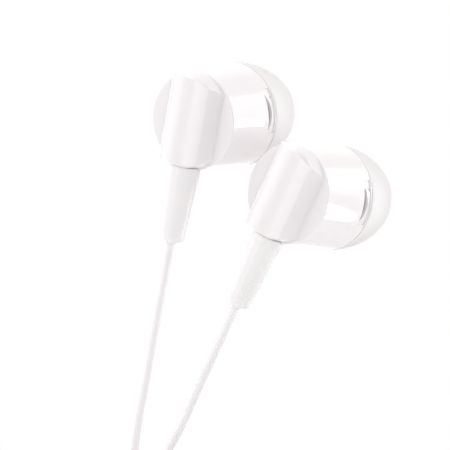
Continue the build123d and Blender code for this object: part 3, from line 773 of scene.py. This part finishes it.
def make_floor():
    verts = [(0, 0, 0)]
    for i in range(1, FLOOR_RINGS + 1):
        r = FLOOR_R * i / FLOOR_RINGS
        for k in range(FLOOR_SEG):
            a = 2 * math.pi * k / FLOOR_SEG
            verts.append((r * math.cos(a), r * math.sin(a), -0.02))
    faces = fan(0, 1, FLOOR_SEG)
    for i in range(FLOOR_RINGS - 1):
        a, b = 1 + i * FLOOR_SEG, 1 + (i + 1) * FLOOR_SEG
        for k in range(FLOOR_SEG):
            k2 = (k + 1) % FLOOR_SEG
            faces.append((a + k, b + k, b + k2, a + k2))
    make_mesh("studio_floor", verts, faces, make_floor_material(), outward=False)


make_floor()

# ------------------------------------------------------------ world
scene = bpy.context.scene
world = bpy.data.worlds.new("studio")
scene.world = world
world.use_nodes = True
sky = world.node_tree
sky.nodes.clear()

# brightness round the object: degrees (0 towards the camera, 90 right, -90 left), strength
# soft light for matt shading: dimmest in front and to the right, stronger at the sides
SOFT_STOPS = [(-180, 0.95), (-120, 1.0), (-95, 1.08), (-60, 1.1), (-25, 1.0), (6, 0.82),
              (36, 0.46), (60, 0.74), (86, 1.2), (125, 1.12), (180, 0.95)]
# panels and gaps that glossy surfaces mirror
SHINE_STOPS = [(-180, 1.8), (-126, 2.0), (-112, 2.0), (-104, 0.9), (-97, 2.0), (-87, 1.5),
               (-76, 0.5), (-66, 0.55), (-57, 1.5), (-47, 1.3), (-36, 0.5), (0, 0.5),
               (30, 0.15), (54, 0.15), (76, 0.7), (98, 1.05), (130, 0.95), (180, 1.4)]


def sky_ramp(source, from_range, to_range):
    return map_range(sky, source, from_range, to_range, "SMOOTHSTEP")


def sky_math(operation, *values):
    node = add_node(sky, "ShaderNodeMath", operation)
    for socket, value in zip(node.inputs, values):
        if isinstance(value, (int, float)):
            socket.default_value = value
        else:
            sky.links.new(value, socket)
    return node.outputs[0]


def round_ramp(turn, stops):
    """Brightness by direction; the ramp holds half values, doubled after it."""
    def grey(value):
        return (value / 2,) * 3 + (1,)

    node = add_node(sky, "ShaderNodeValToRGB")
    node.color_ramp.interpolation = "EASE"
    elements = node.color_ramp.elements
    elements[0].position, elements[1].position = 0.0, 1.0
    for deg, value in stops[1:-1]:
        elements.new((deg + 180) / 360).color = grey(value)
    elements[0].color = grey(stops[0][1])
    elements[len(elements) - 1].color = grey(stops[-1][1])
    sky.links.new(turn, node.inputs[0])
    return sky_math("MULTIPLY", node.outputs["Color"], 2.0)


def build_world():
    """A backdrop for camera rays and an environment for all the others."""
    links = sky.links
    output = add_node(sky, "ShaderNodeOutputWorld")
    ray = add_node(sky, "ShaderNodeLightPath")
    backdrop = add_node(sky, "ShaderNodeBackground")
    backdrop.inputs["Color"].default_value = (1, 1, 1, 1)
    environment = add_node(sky, "ShaderNodeBackground")
    environment.inputs["Color"].default_value = (1.0, 0.985, 0.988, 1)
    choose = add_node(sky, "ShaderNodeMixShader")
    links.new(ray.outputs["Is Camera Ray"], choose.inputs[0])
    links.new(environment.outputs[0], choose.inputs[1])
    links.new(backdrop.outputs[0], choose.inputs[2])
    links.new(choose.outputs[0], output.inputs["Surface"])
    coord = add_node(sky, "ShaderNodeTexCoord")
    view = add_node(sky, "ShaderNodeSeparateXYZ")
    links.new(coord.outputs["Generated"], view.inputs[0])
    x, y, z = (view.outputs[axis] for axis in "XYZ")

    # white straight ahead of the camera, pale grey in every other direction
    links.new(sky_ramp(y, (0.86, 0.985), (0.8, 1.0)), backdrop.inputs["Strength"])

    angle = sky_math("ARCTAN2", x, sky_math("MULTIPLY", y, -1.0))
    turn = sky_math("ADD", sky_math("DIVIDE", angle, 2 * math.pi), 0.5)
    soft = round_ramp(turn, SOFT_STOPS)
    soft = sky_math("MULTIPLY", soft, sky_ramp(z, (-0.9, 0.1), (1.22, 1.0)))
    soft = sky_math("MULTIPLY", soft, sky_ramp(z, (0.3, 0.95), (1.0, 0.98)))
    shine = round_ramp(turn, SHINE_STOPS)
    shine = sky_math("MULTIPLY", shine, sky_ramp(z, (-0.9, -0.3), (0.9, 1.0)))
    strength = add_node(sky, "ShaderNodeMix")
    strength.data_type = "FLOAT"
    links.new(ray.outputs["Is Glossy Ray"], strength.inputs[0])
    links.new(soft, strength.inputs[2])
    links.new(shine, strength.inputs[3])
    links.new(strength.outputs[0], environment.inputs["Strength"])


build_world()

# ------------------------------------------------------------ lights, metres and watts
CAMERA_AT = Vector((-0.0108, -0.400897, 0.044009))


def area(name, loc, target, size, power, spin=None):
    """Area light at loc, facing target, its width along spin (level by default)."""
    data = bpy.data.lights.new(name, "AREA")
    data.shape = "RECTANGLE"
    data.size, data.size_y = size
    data.energy = power
    light = bpy.data.objects.new(name, data)
    scene.collection.objects.link(light)
    z = (Vector(target) - Vector(loc)).normalized() * -1
    if spin is None:
        spin = Vector((0, 0, 1)).cross(z)
    x = (spin - z * spin.dot(z)).normalized()
    turned = Matrix((x, z.cross(x), z)).transposed()
    light.matrix_world = Matrix.Translation(Vector(loc)) @ turned.to_4x4()
    light.visible_camera = False
    return light


middle = (cad_lo + cad_hi) / 2
aim = Vector((middle.x, middle.y, 0.045))
area("key_top", loc=(-0.15, -0.1, 0.7), target=aim, size=(0.5, 0.5), power=0.5)
area("key_right", loc=(0.6, 0.25, 0.2), target=aim, size=(0.3, 0.5), power=0.35)
key_low = area("key_low", loc=(0.45, 0.16, 0.03), target=aim, size=(0.25, 0.25), power=0.42)
key_low.visible_glossy = False


def add_strip(side):
    """Small strip panel that the camera sees mirrored in the bud's side wall."""
    turned = BUD[side].to_3x3()
    a = math.radians(5.0)  # from the bud's -Y towards its +Z
    normal = turned @ Vector((-0.047, -math.cos(a), math.sin(a)))
    normal.normalize()
    spot = BUD[side] @ (Vector((-5.4, -6.26 * math.cos(a), 6.26 * math.sin(a))) * MM)
    sight = (spot - CAMERA_AT).normalized()
    mirrored = sight - normal * (2 * sight.dot(normal))
    strip = area(side + "_strip", loc=spot + mirrored * 0.08, target=spot,
                 size=(0.0038, 0.092), power=0.0058, spin=turned @ Vector((1, 0, 0)))
    strip.visible_diffuse = False


for side in SIDES:
    add_strip(side)

# ------------------------------------------------------------ camera
cam_data = bpy.data.cameras.new("photo_camera")
cam_data.sensor_width = 36.0
cam_data.lens = 257.6
cam_data.clip_start, cam_data.clip_end = 0.01, 10.0
cam = bpy.data.objects.new("photo_camera", cam_data)
scene.collection.objects.link(cam)
cam.location = CAMERA_AT
cam.rotation_euler = (math.radians(90), 0, 0)
scene.camera = cam
scene.view_settings.view_transform = "Standard"
